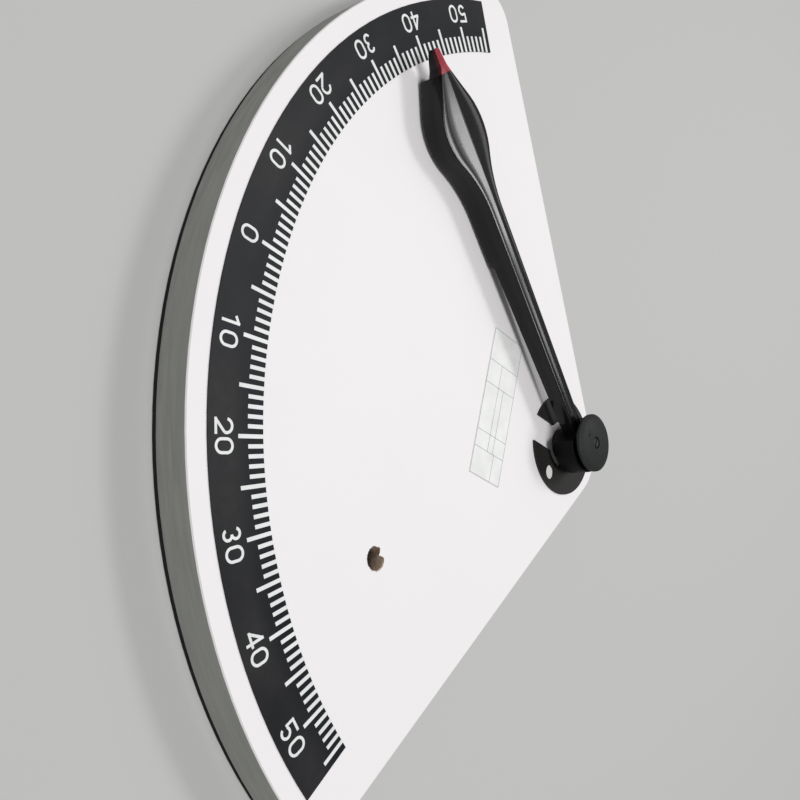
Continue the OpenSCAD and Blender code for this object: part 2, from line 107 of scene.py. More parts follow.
def on_face(x, z, height=0.0):
    """A point right of and above the pivot, and above the board's front."""
    return Vector((PIVOT.x + x * MM, FACE_Y - height * MM, PIVOT.z + z * MM))


def on_pointer(across, along, height):
    """A point off the pointer's centre line, out from the pivot and above the board."""
    return on_face(0, 0, height) + (across * ACROSS + along * ALONG) * MM


# Where the pointer is probed, in mm: from clear of it on every side, from half way along its hollow
# and from short of its tip, at heights where its walls, its hollow and its tip are plain
CLEAR = 50
MIDWAY = 60
SHORT_OF_TIP = 100
WALL_HEIGHT = 10
HOLLOW_HEIGHT = 8
TIP_HEIGHT = 11
TIP_SIDE_HEIGHT = 10.5


class Probe:
    """Reads sizes off a node of the pointer with straight rays."""

    def __init__(self, node):
        mesh = frame["nodes"][node].data
        self.points = [v.co.copy() for v in mesh.vertices]
        self.tree = BVHTree.FromPolygons(self.points, [p.vertices for p in mesh.polygons])

    def ray(self, start, way):
        """Where a ray first meets the node, from the pivot's place on the board's front, in mm."""
        place = self.tree.ray_cast(on_pointer(*start), way)[0]
        return (place - on_face(0, 0)) / MM

    def half_width(self, along, height):
        return self.ray((CLEAR, along, height), -ACROSS).dot(ACROSS)

    def top(self, across, along):
        return self.ray((across, along, CLEAR), -OUTWARD).dot(OUTWARD)

    def bottom(self, across, along):
        return self.ray((across, along, 0), OUTWARD).dot(OUTWARD)

    def out(self, across, start, height):
        return self.ray((across, start, height), ALONG).dot(ALONG)

    def back(self, across, start, height):
        return self.ray((across, start, height), -ALONG).dot(ALONG)


# Materials

class Surface:
    """A procedural material around one Principled shader. Patterns lie in the row frame."""

    def __init__(self, name, color, roughness, metallic=0.0, specular=0.5):
        self.material = bpy.data.materials.new(name)
        self.material.use_nodes = True
        self.tree = self.material.node_tree
        self.shader = self.tree.nodes["Principled BSDF"]
        self.shader.inputs["Base Color"].default_value = (*color, 1)
        self.shader.inputs["Roughness"].default_value = roughness
        self.shader.inputs["Metallic"].default_value = metallic
        self.shader.inputs["Specular IOR Level"].default_value = specular
        self.place = self.tree.nodes.new("ShaderNodeTexCoord").outputs["Object"]
        self.normal = None

    def node(self, kind, **values):
        made = self.tree.nodes.new(kind)
        for key, value in values.items():
            setattr(made, key, value)
        return made

    def mapped(self, stretch, shift=(0, 0, 0)):
        mapping = self.node("ShaderNodeMapping")
        mapping.inputs["Scale"].default_value = stretch
        mapping.inputs["Location"].default_value = shift
        self.tree.links.new(self.place, mapping.inputs["Vector"])
        return mapping.outputs["Vector"]

    def noise(self, scale, detail=3.0, stretch=(1, 1, 1), distortion=0.0):
        texture = self.node("ShaderNodeTexNoise")
        texture.inputs["Scale"].default_value = scale
        texture.inputs["Detail"].default_value = detail
        texture.inputs["Distortion"].default_value = distortion
        self.tree.links.new(self.mapped(stretch), texture.inputs["Vector"])
        return texture.outputs["Fac"]

    def specks(self, scale):
        """Distance from the nearest of many scattered points."""
        texture = self.node("ShaderNodeTexVoronoi")
        texture.inputs["Scale"].default_value = scale
        self.tree.links.new(self.place, texture.inputs["Vector"])
        return texture.outputs["Distance"]

    def rings(self, per_metre):
        """Turning marks round the pivot's axis."""
        wave = self.node("ShaderNodeTexWave", wave_type="RINGS", rings_direction="Y")
        wave.inputs["Scale"].default_value = per_metre
        wave.inputs["Distortion"].default_value = 0.6
        wave.inputs["Detail"].default_value = 2
        self.tree.links.new(self.mapped((1, 1, 1), -PIVOT), wave.inputs["Vector"])
        return wave.outputs["Fac"]

    def share(self, source, low, high):
        """Turns a value into 0 at low and 1 at high."""
        scale = self.node("ShaderNodeMapRange")
        scale.inputs["From Min"].default_value = low
        scale.inputs["From Max"].default_value = high
        self.tree.links.new(source, scale.inputs["Value"])
        return scale.outputs["Result"]

    def raised(self, low, high):
        """0 below one height above the board's front and 1 above another, in mm."""
        split = self.node("ShaderNodeSeparateXYZ")
        self.tree.links.new(self.place, split.inputs["Vector"])
        return self.share(split.outputs["Y"], FACE_Y - low * MM, FACE_Y - high * MM)

    def facing(self, low, high):
        """How far a face is turned to the reader, from one cosine to another."""
        split = self.node("ShaderNodeSeparateXYZ")
        geometry = self.node("ShaderNodeNewGeometry")
        self.tree.links.new(geometry.outputs["Normal"], split.inputs["Vector"])
        return self.share(split.outputs["Y"], -low, -high)

    def distance_out(self, low, high):
        """0 and 1 at two distances from the pivot's axis, in mm."""
        length = self.node("ShaderNodeVectorMath", operation="LENGTH")
        flat = self.mapped((1, 0, 1), (-PIVOT.x, 0, -PIVOT.z))
        self.tree.links.new(flat, length.inputs[0])
        return self.share(length.outputs["Value"], low * MM, high * MM)

    def ramp(self, source, stops):
        """stops are (place, value or colour) pairs."""
        ramp = self.node("ShaderNodeValToRGB")
        elements = ramp.color_ramp.elements
        while len(elements) < len(stops):
            elements.new(0.5)
        for element, (place, value) in zip(elements, stops):
            color = value if isinstance(value, tuple) else (value, value, value)
            element.position = place
            element.color = (*color, 1)
        self.tree.links.new(source, ramp.inputs["Fac"])
        return ramp.outputs["Color"]

    def mix(self, share, first, second):
        """A colour socket that blends two colour sockets."""
        mix = self.node("ShaderNodeMix", data_type="RGBA")
        self.tree.links.new(share, mix.inputs[0])
        self.tree.links.new(first, mix.inputs[6])
        self.tree.links.new(second, mix.inputs[7])
        return mix.outputs[2]

    def times(self, first, second):
        """The product of two value sockets."""
        product = self.node("ShaderNodeMath", operation="MULTIPLY")
        self.tree.links.new(first, product.inputs[0])
        self.tree.links.new(second, product.inputs[1])
        return product.outputs["Value"]

    def color(self, source):
        self.tree.links.new(source, self.shader.inputs["Base Color"])

    def roughness(self, source):
        self.tree.links.new(source, self.shader.inputs["Roughness"])

    def bump(self, source, distance, strength=1.0):
        bump = self.node("ShaderNodeBump")
        bump.inputs["Distance"].default_value = distance
        bump.inputs["Strength"].default_value = strength
        self.tree.links.new(source, bump.inputs["Height"])
        if self.normal:
            self.tree.links.new(self.normal, bump.inputs["Normal"])
        self.normal = bump.outputs["Normal"]
        self.tree.links.new(self.normal, self.shader.inputs["Normal"])


def near(color, amount):
    """A tone of a colour, darker or lighter by a factor."""
    return tuple(c * amount for c in color)


def painted_board():
    """White paint, a little cloudy and dusty, with faint dark dots in places."""
    paint = (0.865, 0.84, 0.85)
    surface = Surface("white_board", paint, 0.6, specular=0.3)
    cloudy = surface.ramp(surface.noise(9, 4), [(0.3, near(paint, 0.985)), (0.7, paint)])
    dusty = surface.ramp(surface.noise(70, 5), [(0.3, near(paint, 0.965)), (0.6, paint)])
    dots = surface.ramp(surface.specks(240), [(0.03, 0.75), (0.09, 0.0)])
    faint = surface.ramp(surface.noise(31, 2), [(0.62, 0.0), (0.7, 0.5)])
    clean = surface.mix(faint, cloudy, dusty)
    dirt = surface.ramp(dots, [(0, near(paint, 0.8)), (1, near(paint, 0.7))])
    surface.color(surface.mix(surface.times(dots, faint), clean, dirt))
    surface.roughness(surface.ramp(surface.noise(30), [(0.3, 0.54), (0.7, 0.66)]))
    surface.bump(surface.noise(420, 2), 0.00003)
    surface.bump(surface.noise(38, 2), 0.00012)
    return surface.material


def shaded_board_edge():
    """The board's sawn edge in a darker grey than its front: painted shade for the shade that falls on its sides.
    """
    # Painted shade: this grey stands in for the shade on the board's sides
    paint = (0.4, 0.41, 0.385)
    surface = Surface("shaded_board_edge", paint, 0.7, specular=0.25)
    cloudy = surface.ramp(surface.noise(16, 4), [(0.3, near(paint, 0.88)), (0.7, near(paint, 1.08))])
    layered = surface.noise(60, 4, (1, 9, 1))
    layers = surface.ramp(layered, [(0.35, near(paint, 0.86)), (0.65, near(paint, 1.06))])
    where = surface.ramp(surface.noise(5), [(0.4, 0.0), (0.6, 1.0)])
    surface.color(surface.mix(where, cloudy, layers))
    surface.bump(surface.noise(900, 3, (1, 3, 1)), 0.00004)
    return surface.material


def bare_fibre():
    """Raw fibre in the drilled holes, with painted light and shade: paler towards the front where light reaches
    in, dark deep down where shade falls.
    """
    tan = (0.5, 0.39, 0.31)
    lit_pale = (0.92, 0.8, 0.7)
    shade_below = -7
    light_above = -3
    surface = Surface("bare_fibre", tan, 0.95, specular=0.1)
    strands = surface.noise(700, 5, (1, 2.2, 1), 1.5)
    # Painted light near the front of a hole and painted shade deep inside it
    shallow_lit = surface.ramp(strands, [(0.3, near(tan, 0.8)), (0.5, near(tan, 1.5)), (0.75, lit_pale)])
    deep_shade = surface.ramp(strands, [(0.3, near(tan, 0.12)), (0.7, near(tan, 0.5))])
    surface.color(surface.mix(surface.raised(shade_below, light_above), deep_shade, shallow_lit))
    surface.bump(strands, 0.0005)
    return surface.material


def laminate():
    """Bluish black band, with a lighter brownish grey painted sheen in patches along its outer side."""
    blue = (0.0072, 0.0084, 0.0118)
    sheen_brown = (0.026, 0.0255, 0.0265)
    sheen_start_within = 176
    sheen_full_beyond = 184
    surface = Surface("black_band", blue, 0.5, specular=0.15)
    cloudy = surface.noise(26, 4)
    band_tone = surface.ramp(cloudy, [(0.3, near(blue, 0.8)), (0.7, near(blue, 1.25))])
    # Painted sheen: the lighter brownish grey stands in for the gloss along the band's outer side
    painted_sheen = surface.ramp(surface.noise(260, 3), [(0.3, near(sheen_brown, 0.88)), (0.7, near(sheen_brown, 1.15))])
    patches = surface.ramp(surface.noise(13, 3), [(0.4, 0.25), (0.58, 1.0)])
    outer = surface.ramp(surface.distance_out(sheen_start_within, sheen_full_beyond), [(0, 0.0), (1, 1.0)])
    surface.color(surface.mix(surface.times(patches, outer), band_tone, painted_sheen))
    surface.roughness(surface.ramp(cloudy, [(0.3, 0.46), (0.7, 0.56)]))
    surface.bump(surface.noise(1600, 2), 0.000008)
    surface.bump(surface.noise(45, 2), 0.00004)
    return surface.material


def moulding(name, color, roughness, grain, depth, waves=0.0, specular=0.5):
    """Moulded plastic: a fine grain, slow sink waves and faint rubbed patches."""
    surface = Surface(name, color, roughness, specular=specular)
    patches = surface.noise(55, 5)
    surface.color(surface.ramp(patches, [(0.3, near(color, 0.85)), (0.72, near(color, 1.18))]))
    surface.roughness(surface.ramp(patches, [(0.3, roughness * 0.85), (0.7, roughness * 1.2)]))
    surface.bump(surface.noise(grain, 3), depth)
    if waves:
        surface.bump(surface.noise(60, 1), waves)
    return surface.material


def tip_paint():
    """Red paint: bright on the top, darker down the sides where it is thin and where painted shade stands for the
    shade on them, black plastic below.
    """
    top = (0.3, 0.02, 0.035)
    side = (0.12, 0.005, 0.009)
    black = (0.005, 0.005, 0.0055)
    bare_below = 9.8
    painted_above = 11.0
    surface = Surface("red_tip", top, 0.3, specular=0.35)
    tone = surface.noise(240, 4)
    bright = surface.ramp(tone, [(0.3, near(top, 0.85)), (0.7, near(top, 1.1))])
    thin_and_shaded = surface.ramp(tone, [(0.3, near(side, 0.7)), (0.7, near(side, 1.3))])
    bare = surface.ramp(tone, [(0.3, near(black, 0.8)), (0.7, near(black, 1.3))])
    # The sides' darker red is partly thin paint and partly painted shade, chosen by which way a face turns
    painted = surface.mix(surface.facing(0.25, 0.8), thin_and_shaded, bright)
    surface.color(surface.mix(surface.raised(bare_below, painted_above), bare, painted))
    surface.bump(surface.noise(900, 3), 0.00001)
    return surface.material


def turned_metal(name, color, roughness, rings):
    """Turned or plated metal: marks round the pivot's axis and a mottled sheen."""
    surface = Surface(name, color, roughness, metallic=1)
    mottle = surface.noise(320, 4)
    surface.color(surface.ramp(mottle, [(0.3, near(color, 0.78)), (0.7, near(color, 1.1))]))
    surface.roughness(surface.ramp(mottle, [(0.3, roughness * 0.75), (0.7, roughness * 1.3)]))
    surface.bump(surface.rings(rings), 0.00002, 0.5)
    surface.bump(surface.noise(1500, 2), 0.000008)
    return surface.material


def printed(name, color, roughness):
    """Paper or white filled marking, a little uneven in tone."""
    surface = Surface(name, color, roughness, specular=0.35)
    tone = surface.noise(150, 4)
    surface.color(surface.ramp(tone, [(0.3, near(color, 0.93)), (0.65, near(color, 1.03))]))
    surface.bump(surface.noise(1300, 3), 0.000012)
    return surface.material


MATERIALS = {
    "white_board": painted_board(),
    "black_band": laminate(),
    "white_marking": printed("white_marking", (0.78, 0.8, 0.79), 0.5),
    "label_paper": printed("label_paper", (0.83, 0.84, 0.825), 0.55),
    "black_moulding": moulding("black_moulding", (0.0125, 0.0115, 0.0105), 0.58,
                               grain=700, depth=0.00004, specular=0.32),
    "pointer_plastic": moulding("pointer_plastic", (0.0045, 0.0045, 0.005), 0.17,
                                grain=900, depth=0.000003, waves=0.00003, specular=0.26),
    "cap_plastic": moulding("cap_plastic", (0.0215, 0.023, 0.0225), 0.52,
                            grain=620, depth=0.00005, specular=0.12),
    "red_tip": tip_paint(),
    "steel": turned_metal("steel", (0.58, 0.58, 0.6), 0.3, 900),
    "zinc_steel": turned_metal("zinc_steel", (0.66, 0.67, 0.69), 0.36, 700),
    "black_steel": turned_metal("black_steel", (0.05, 0.05, 0.053), 0.42, 900),
    "brass": turned_metal("brass", (0.74, 0.54, 0.24), 0.3, 900),
    "nylon": moulding("nylon", (0.8, 0.79, 0.74), 0.5, grain=800, depth=0.00001),
}
# Painted light and shade inside the holes and the recess
BARE_FIBRE = bare_fibre()
# Painted shade on the board's sides
SHADED_BOARD_EDGE = shaded_board_edge()
# Painted shade: a darker, less glossy copy of the pointer's plastic, for the hub in the cap's shade
HUB_SHADED = moulding("hub_shaded", (0.003, 0.003, 0.0032), 0.5, grain=800, depth=0.00001, specular=0.1)
PRINT_GREY = printed("print_grey", (0.42, 0.43, 0.43), 0.6)


# Building pieces

# How far a cut runs past what it cuts, in mm
PAST = 1
# How far in a rounded corner's middle point lies, as a share of the rounding
CORNER_MIDDLE = 0.3
# Faces of a box from its corners, four round the bottom and then four round the top
BOX_FACES = ((0, 1, 2, 3), (4, 5, 6, 7), (0, 1, 5, 4), (1, 2, 6, 5), (2, 3, 7, 6), (3, 0, 4, 7))


def mesh_of(name, points, faces):
    """A closed mesh from its points and faces, with doubled points joined."""
    same_place = 1e-7
    shortest_edge = 1e-8
    form = bmesh.new()
    placed = [form.verts.new(point) for point in points]
    for face in faces:
        form.faces.new([placed[i] for i in face])
    bmesh.ops.remove_doubles(form, verts=form.verts, dist=same_place)
    bmesh.ops.dissolve_degenerate(form, edges=form.edges, dist=shortest_edge)
    bmesh.ops.recalc_face_normals(form, faces=form.faces)
    mesh = bpy.data.meshes.new(name)
    form.to_mesh(mesh)
    form.free()
    return mesh


def loft(name, rings, joined=False):
    """Skin through rings of equally many points, capped at both ends or joined into a ring."""
    count = len(rings[0])
    points = [point for ring in rings for point in ring]
    faces = []
    for i in range(len(rings) if joined else len(rings) - 1):
        here = i * count
        there = (i + 1) % len(rings) * count
        for j in range(count):
            k = (j + 1) % count
            faces.append((here + j, here + k, there + k, there + j))
    if not joined:
        faces.append(tuple(range(count)))
        faces.append(tuple(range((len(rings) - 1) * count, len(rings) * count)))
    return mesh_of(name, points, faces)


def turned(name, section, centre, steps=96):
    """A ring turned about an axis that points outward. section(angle) gives its closed
    outline as (radius, height above the board) points."""
    rings = []
    for i in range(steps):
        angle = math.tau * i / steps
        way = Vector((math.cos(angle), 0, math.sin(angle)))
        rings.append([centre + (r * way + h * OUTWARD) * MM for r, h in section(angle)])
    return loft(name, rings, joined=True)


def eased(outline, size):
    """The closed outline with each corner rounded over the given length."""
    steps = 4
    points = [Vector(point) for point in outline]
    smooth = []
    for i, corner in enumerate(points):
        before = points[i - 1] - corner
        after = points[(i + 1) % len(points)] - corner
        reach = min(size, before.length / 2, after.length / 2)
        start = corner + before.normalized() * reach
        end = corner + after.normalized() * reach
        for step in range(steps + 1):
            t = step / steps
            smooth.append((1 - t) ** 2 * start + 2 * t * (1 - t) * corner + t ** 2 * end)
    return smooth


def combine(first, second, operation):
    """The boolean of two closed meshes, as a new mesh."""
    pair = [add_object(mesh.name, mesh) for mesh in (first, second)]
    change = pair[0].modifiers.new("combine", "BOOLEAN")
    change.object = pair[1]
    change.operation = operation
    change.solver = "EXACT"
    bpy.context.view_layer.update()
    graph = bpy.context.evaluated_depsgraph_get()
    result = bpy.data.meshes.new_from_object(pair[0].evaluated_get(graph))
    for holder in pair:
        bpy.data.objects.remove(holder)
    return result


def cad_mesh(node):
    """A copy of a node's mesh with its doubled points joined and its flat faces merged."""
    same_place = 2e-6
    flat_within = math.radians(0.4)
    form = bmesh.new()
    form.from_mesh(frame["nodes"][node].data)
    bmesh.ops.remove_doubles(form, verts=form.verts, dist=same_place)
    bmesh.ops.dissolve_limit(form, angle_limit=flat_within, verts=form.verts, edges=form.edges)
    mesh = bpy.data.meshes.new(node + "_form")
    form.to_mesh(mesh)
    form.free()
    return mesh


def from_axis(polygon):
    """How far the middle of a face lies from the pivot's axis, in metres."""
    return Vector((polygon.center.x - PIVOT.x, polygon.center.z - PIVOT.z)).length


def add_piece(name, mesh, node, material=None, round_edges=0.0, smooth=32):
    """Adds a mesh as a piece that rides on a node's body, with the material of that node's slot unless it is given
    one of its own."""
    piece = add_object(name, mesh)
    mesh.materials.clear()
    mesh.materials.append(material or MATERIALS[SLOTS[node]])
    for polygon in mesh.polygons:
        polygon.use_smooth = True
    mesh.set_sharp_from_angle(angle=math.radians(smooth))
    if round_edges:
        bevel = piece.modifiers.new("round_edges", "BEVEL")
        bevel.width = round_edges * MM
        bevel.segments = 3
        bevel.limit_method = "ANGLE"
        bevel.angle_limit = math.radians(smooth)
        bevel.harden_normals = True
    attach(piece, BODIES[node])
    return piece


def round_node(node, size):
    """Replaces a node with its own shape, its edges rounded."""
    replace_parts(add_piece(node + "_rounded", cad_mesh(node), node, round_edges=size), node)


# Pointer

# Sizes in mm, but for the shares: the shoulder's is of the half width, the slope is its rise over
# its run, and the facet's are of the facet's width
LEAF_HALF = max(abs((point - PIVOT).dot(ACROSS)) for point in Probe("pointer_arm").points) / MM
RIM_ROUND = 0.3
SHOULDER_SHARE = 0.18
SHOULDER_SLOPE = 0.22
RIM_DIP = 0.1
FACET_START = 0.15
FACET_STRAIGHT = 0.5
FOOT_EASE = 0.3
STEP_SLANT = 1.2
STATION_SPACING = 3.0
HUB_ROUND = 0.6
HOLLOW_ROUND = 0.6


def roof(half, rim, ridge, round_size=RIM_ROUND, dip=RIM_DIP):
    """Half of the top's outline, from the side wall to just short of the ridge: a rounded rim,
    a soft shoulder, then a hollow that turns into a straight slope up to the ridge."""
    points = []
    arc_steps = 6
    for i in range(arc_steps):
        turn = math.pi / 2 * i / arc_steps
        inward = round_size * (1 - math.cos(turn))
        down = round_size * (1 - math.sin(turn))
        points.append((half - inward, rim - down))
    shoulder = half * SHOULDER_SHARE
    gain = shoulder * SHOULDER_SLOPE / 2
    shoulder_steps = 6
    for i in range(shoulder_steps):
        share = i / shoulder_steps
        rise = gain * (1 - (1 - share) ** 2)
        points.append((half - round_size - shoulder * share, rim + rise))
    foot = half - round_size - shoulder
    low = rim + gain - dip * half / LEAF_HALF
    facet_steps = 14
    bend = FACET_STRAIGHT - FACET_START
    slope = 1 / (1 - FACET_STRAIGHT + bend / 2)
    for i in range(facet_steps):
        share = i / facet_steps
        curved = min(max(share - FACET_START, 0), bend)
        rise = slope * (curved ** 2 / (2 * bend) + max(share - FACET_STRAIGHT, 0))
        blend = min(1, share / FACET_START)
        base = rim + gain + (low - rim - gain) * blend ** 2 * (3 - 2 * blend)
        points.append((foot * (1 - share), base + (ridge - low) * rise))
    return points


def both_sides(right, middle):
    """A closed outline from its right half, walked upwards, and the point on the centre line."""
    left = [(-across, height) for across, height in reversed(right)]
    return right + [middle] + left


def arm_stations(start, end, step_at):
    """Even places along the pointer, but for the two on both sides of the skirt's step."""
    count = round((end - start) / STATION_SPACING)
    places = [start + (end - start) * i / count for i in range(count + 1)]
    places = [s for s in places if abs(s - step_at) > STEP_SLANT]
    return sorted(places + [step_at - STEP_SLANT / 2, step_at + STEP_SLANT / 2])


def skirt_start(arm, near_hub, far_end):
    """Where the pointer's lower edge steps down to the deep skirt."""
    low, high = near_hub, far_end
    wall_inset = 0.8
    accuracy = 0.01
    least_step = 0.1
    depth = arm.bottom(arm.half_width(far_end, WALL_HEIGHT) - wall_inset, far_end)
    while high - low > accuracy:
        middle = (low + high) / 2
        if arm.bottom(arm.half_width(middle, WALL_HEIGHT) - wall_inset, middle) > depth + least_step:
            low = middle
        else:
            high = middle
    return high


def beyond(along, height):
    """A block from a place on the pointer outward, past the hub on every side, up to a height."""
    side = CLEAR
    corners = [on_pointer(a, s, h) for h in (-PAST, height) for a, s in
               ((-side, along), (side, along), (side, along + side), (-side, along + side))]
    return mesh_of("beyond", corners, BOX_FACES)


def hub_radius(arm):
    """The hub's radius in mm, probed from beyond it."""
    return -arm.out(0, -CLEAR, WALL_HEIGHT)


def pointer_mesh():
    """Arm and leaf as one hollow moulding with its hub."""
    arm = Probe("pointer_arm")
    hub_r = hub_radius(arm)
    tip_root = Probe("pointer_tip").out(0, SHORT_OF_TIP, TIP_HEIGHT)
    beside_arm = hub_r * 0.6
    flat_at = arm.back(beside_arm, MIDWAY, WALL_HEIGHT)
    hollow_start = arm.back(0, MIDWAY, HOLLOW_HEIGHT)
    hollow_end = arm.out(0, MIDWAY, HOLLOW_HEIGHT)
    hollow_half = arm.ray((0, MIDWAY, HOLLOW_HEIGHT), ACROSS).dot(ACROSS)
    wall = arm.half_width(MIDWAY, WALL_HEIGHT) - hollow_half
    ceiling = arm.bottom(0, MIDWAY)

    # Its sizes are read from just past the hub's flat side to just short of the tip
    hub_inset = 0.3
    tip_inset = 0.05
    rim_inset = 0.02
    first = flat_at + hub_inset
    last = tip_root - tip_inset
    step_at = skirt_start(arm, first, last)

    def sizes(along):
        """Half width, and the heights of the lower edge, the rim and the ridge."""
        place = min(max(along, first), last)
        half = arm.half_width(place, WALL_HEIGHT)
        low = arm.bottom(half - wall / 2, place)
        return half, low, arm.top(half - rim_inset, place), arm.top(0, place)

    def section(along):
        half, low, rim, ridge = sizes(along)
        middle = FOOT_EASE * CORNER_MIDDLE
        right = [(half - FOOT_EASE, low), (half - middle, low + middle), (half, low + FOOT_EASE)]
        outline = both_sides(right + roof(half, rim, ridge), (0, ridge))
        return [on_pointer(across, along, height) for across, height in outline]

    def hollow(along):
        half, low = sizes(along)[:2]
        inner = half - wall
        middle = HOLLOW_ROUND * CORNER_MIDDLE
        right = [(inner, low - PAST), (inner, ceiling - HOLLOW_ROUND),
                 (inner - middle, ceiling - middle), (inner - HOLLOW_ROUND, ceiling)]
        outline = both_sides(right, (0, ceiling))
        return [on_pointer(across, along, height) for across, height in outline]

    block = loft("pointer_block", [section(s) for s in arm_stations(0, tip_root, step_at)])
    inside = loft("pointer_hollow",
                  [hollow(s) for s in arm_stations(hollow_start, hollow_end, step_at)])
    mesh = combine(block, inside, "DIFFERENCE")

    rim_depth = 0.4
    near_rim = rim_depth - hub_r
    hub_low = arm.bottom(0, near_rim)
    hub_high = arm.top(0, near_rim)
    hub_centre = on_face(0, 0)
    bore_low, bore_high = heights("hub_bush")
    bore = Probe("hub_bush").out(0, -CLEAR, (bore_low + bore_high) / 2)
    core = -0.5 * bore
    hub = eased([(core, hub_low), (hub_r, hub_low), (hub_r, hub_high), (core, hub_high)], HUB_ROUND)
    disc = turned("hub", lambda angle: hub, hub_centre)
    disc = combine(disc, beyond(flat_at, 2 * hub_high), "DIFFERENCE")
    mesh = combine(mesh, disc, "UNION")

    bore_ring = [(-bore, -PAST), (-bore, 2 * hub_high), (0, 2 * hub_high), (0, -PAST)]
    mesh = combine(mesh, turned("bore", lambda angle: bore_ring, hub_centre), "DIFFERENCE")

    screws = Probe("ballast_screws").points
    alongs = [(point - PIVOT).dot(ALONG) / MM for point in screws]
    boss_r = max((point - PIVOT).dot(ACROSS) / MM for point in screws)
    boss_hole_r = boss_r * 0.5
    into_roof = 0.5
    boss_low = heights("pointer_ballast")[1]
    boss_high = ceiling + into_roof
    boss = [(boss_hole_r, boss_low), (boss_r, boss_low), (boss_r, boss_high), (boss_hole_r, boss_high)]
    for along in (min(alongs) + boss_r, max(alongs) - boss_r):
        ring = turned("boss", lambda angle: boss, on_pointer(0, along, 0), steps=32)
        mesh = combine(mesh, ring, "UNION")
    return mesh


def add_moulding():
    """The pointer's moulding, darker and less glossy round its hub: painted shade for the shade that the cap casts
    there.
    """
    piece = add_piece("pointer_moulding", pointer_mesh(), "pointer_arm")
    piece.data.materials.append(HUB_SHADED)
    # Painted shade: the hub takes the darker plastic
    hub_shade = 1
    just_past = 1.01
    reach = hub_radius(Probe("pointer_arm")) * MM * just_past
    for polygon in piece.data.polygons:
        if from_axis(polygon) < reach:
            polygon.material_index = hub_shade
    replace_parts(piece, "pointer_arm")


def add_tip():
    """The red end, waisted and cut off blunt."""
    tip = Probe("pointer_tip")
    start = tip.out(0, SHORT_OF_TIP, TIP_HEIGHT)
    end = max((point - PIVOT).dot(ALONG) / MM for point in tip.points)
    blunt = 0.5
    steps = 12
    bottom_rise = 1.0
    foot_ease = 0.5
    foot_middle = 0.12
    rim_round = 0.25
    rim_share = 0.95
    start_inset = 0.05
    least_end = 0.3
    end_shares = (0.35, 0.65, 0.87, 0.97, 1.0)

    def section(along):
        place = min(max(along, start + start_inset), end - blunt)
        half = tip.half_width(place, TIP_SIDE_HEIGHT)
        over = max(0, along - (end - blunt)) / blunt
        half *= math.sqrt(max(least_end, 1 - over ** 2))
        low = tip.bottom(0, place) + bottom_rise * ((place - start) / (end - start)) ** 2
        rim = tip.top(half * rim_share, place)
        ridge = tip.top(0, place)
        right = [(half - foot_ease, low), (half - foot_middle, low + foot_middle),
                 (half, low + foot_ease)]
        outline = both_sides(right + roof(half, rim, ridge, rim_round, dip=0), (0, ridge))
        return [on_pointer(across, along, height) for across, height in outline]

    even = [start + (end - blunt - start) * i / steps for i in range(steps + 1)]
    stations = even + [end - blunt * (1 - share) for share in end_shares]
    mesh = loft("tip", [section(s) for s in stations])
    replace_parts(add_piece("tip_painted", mesh, "pointer_tip"), "pointer_tip")


# Mounting holes, drilled roughly through paint and fibre

# Side, name, and the angle in degrees where a flake of paint hangs over the edge
HOLES = ((1, "right", 138), (-1, "left", -70))
FLAKE_REACH = 2.4
FLAKE_WIDTH = 0.36


def rough(angle, height, scale, seed):
    """Smooth noise round a hole, alike on every run."""
    spot = Vector((math.cos(angle), height, math.sin(angle) + seed))
    return noise.noise(spot * scale)


def fibre_section(hole_r, depth, seed, angle):
    """The bare fibre that lines a hole, from just inside one face of the board to the other."""
    steps = 16
    thickness = 0.3
    unevenness = 0.28
    inset = 0.25
    back_r = hole_r + 0.1
    wall = [hole_r - thickness + unevenness * rough(angle, -i / steps * depth * 0.2, 4, seed * 9)
            for i in range(steps + 1)]
    inner = [(r, -inset - (depth - 2 * inset) * i / steps) for i, r in enumerate(wall)]
    return inner + [(back_r, -depth + inset), (back_r, -inset)]


def paint_section(hole_r, flake_angle, seed, angle):
    """Paint lifted round a hole, with small chips and one flake of it hanging over the edge."""
    overhang = 0.1
    chips = 0.8
    jags = 0.28
    margin = 0.8
    thickness = 0.16
    turn = math.remainder(angle - flake_angle, 2 * math.pi)
    flake = FLAKE_REACH * math.exp(-(turn / FLAKE_WIDTH) ** 2)
    flake += chips * max(0.0, rough(angle, 0, 1.6, seed * 5 + 3))
    inner = hole_r - overhang - flake + jags * rough(angle, 0, 9, seed * 5)
    outer = hole_r + margin + 0.3 * rough(angle, 0, 3, seed * 2)
    lift = 0.12 + 0.1 * rough(angle, 0, 5, seed * 7)
    return [(outer, -0.1), (outer, 0.01), (hole_r + 0.15, lift * 0.6), (inner, lift),
            (inner + 0.06, lift - thickness), (hole_r + 0.1, -0.15)]


def add_holes():
    mount = next(row for row in record["mounts"] if row["kind"] == "bolt_pattern")
    hole_r = mount["dims"]["hole_r_mm"]
    half_pitch = mount["dims"]["spacing_x_mm"] / 2
    depth = -heights("board")[0]
    for side, name, degrees in HOLES:
        centre = on_face(side * half_pitch, -PIVOT.z / MM)
        flake_angle = math.radians(degrees)
        fibre = turned("hole_fibre", lambda angle: fibre_section(hole_r, depth, side, angle),
                       centre, steps=128)
        paint = turned("torn_paint", lambda angle: paint_section(hole_r, flake_angle, side, angle),
                       centre, steps=192)
        add_piece("hole_fibre_" + name, fibre, "board", BARE_FIBRE, smooth=60)
        add_piece("torn_paint_" + name, paint, "board", smooth=50)


# Blank form ruled on the label

# Places of its lines as shares of its width and height. A row also says where it starts and ends.
COLUMNS = (0.0, 0.22, 0.38, 0.706, 0.82, 1.0)
ROWS = ((0.0, 0.0, 1.0), (1.0, 0.0, 1.0), (0.44, 0.22, 0.82), (0.62, 0.38, 0.82), (0.67, 0.82, 1.0))


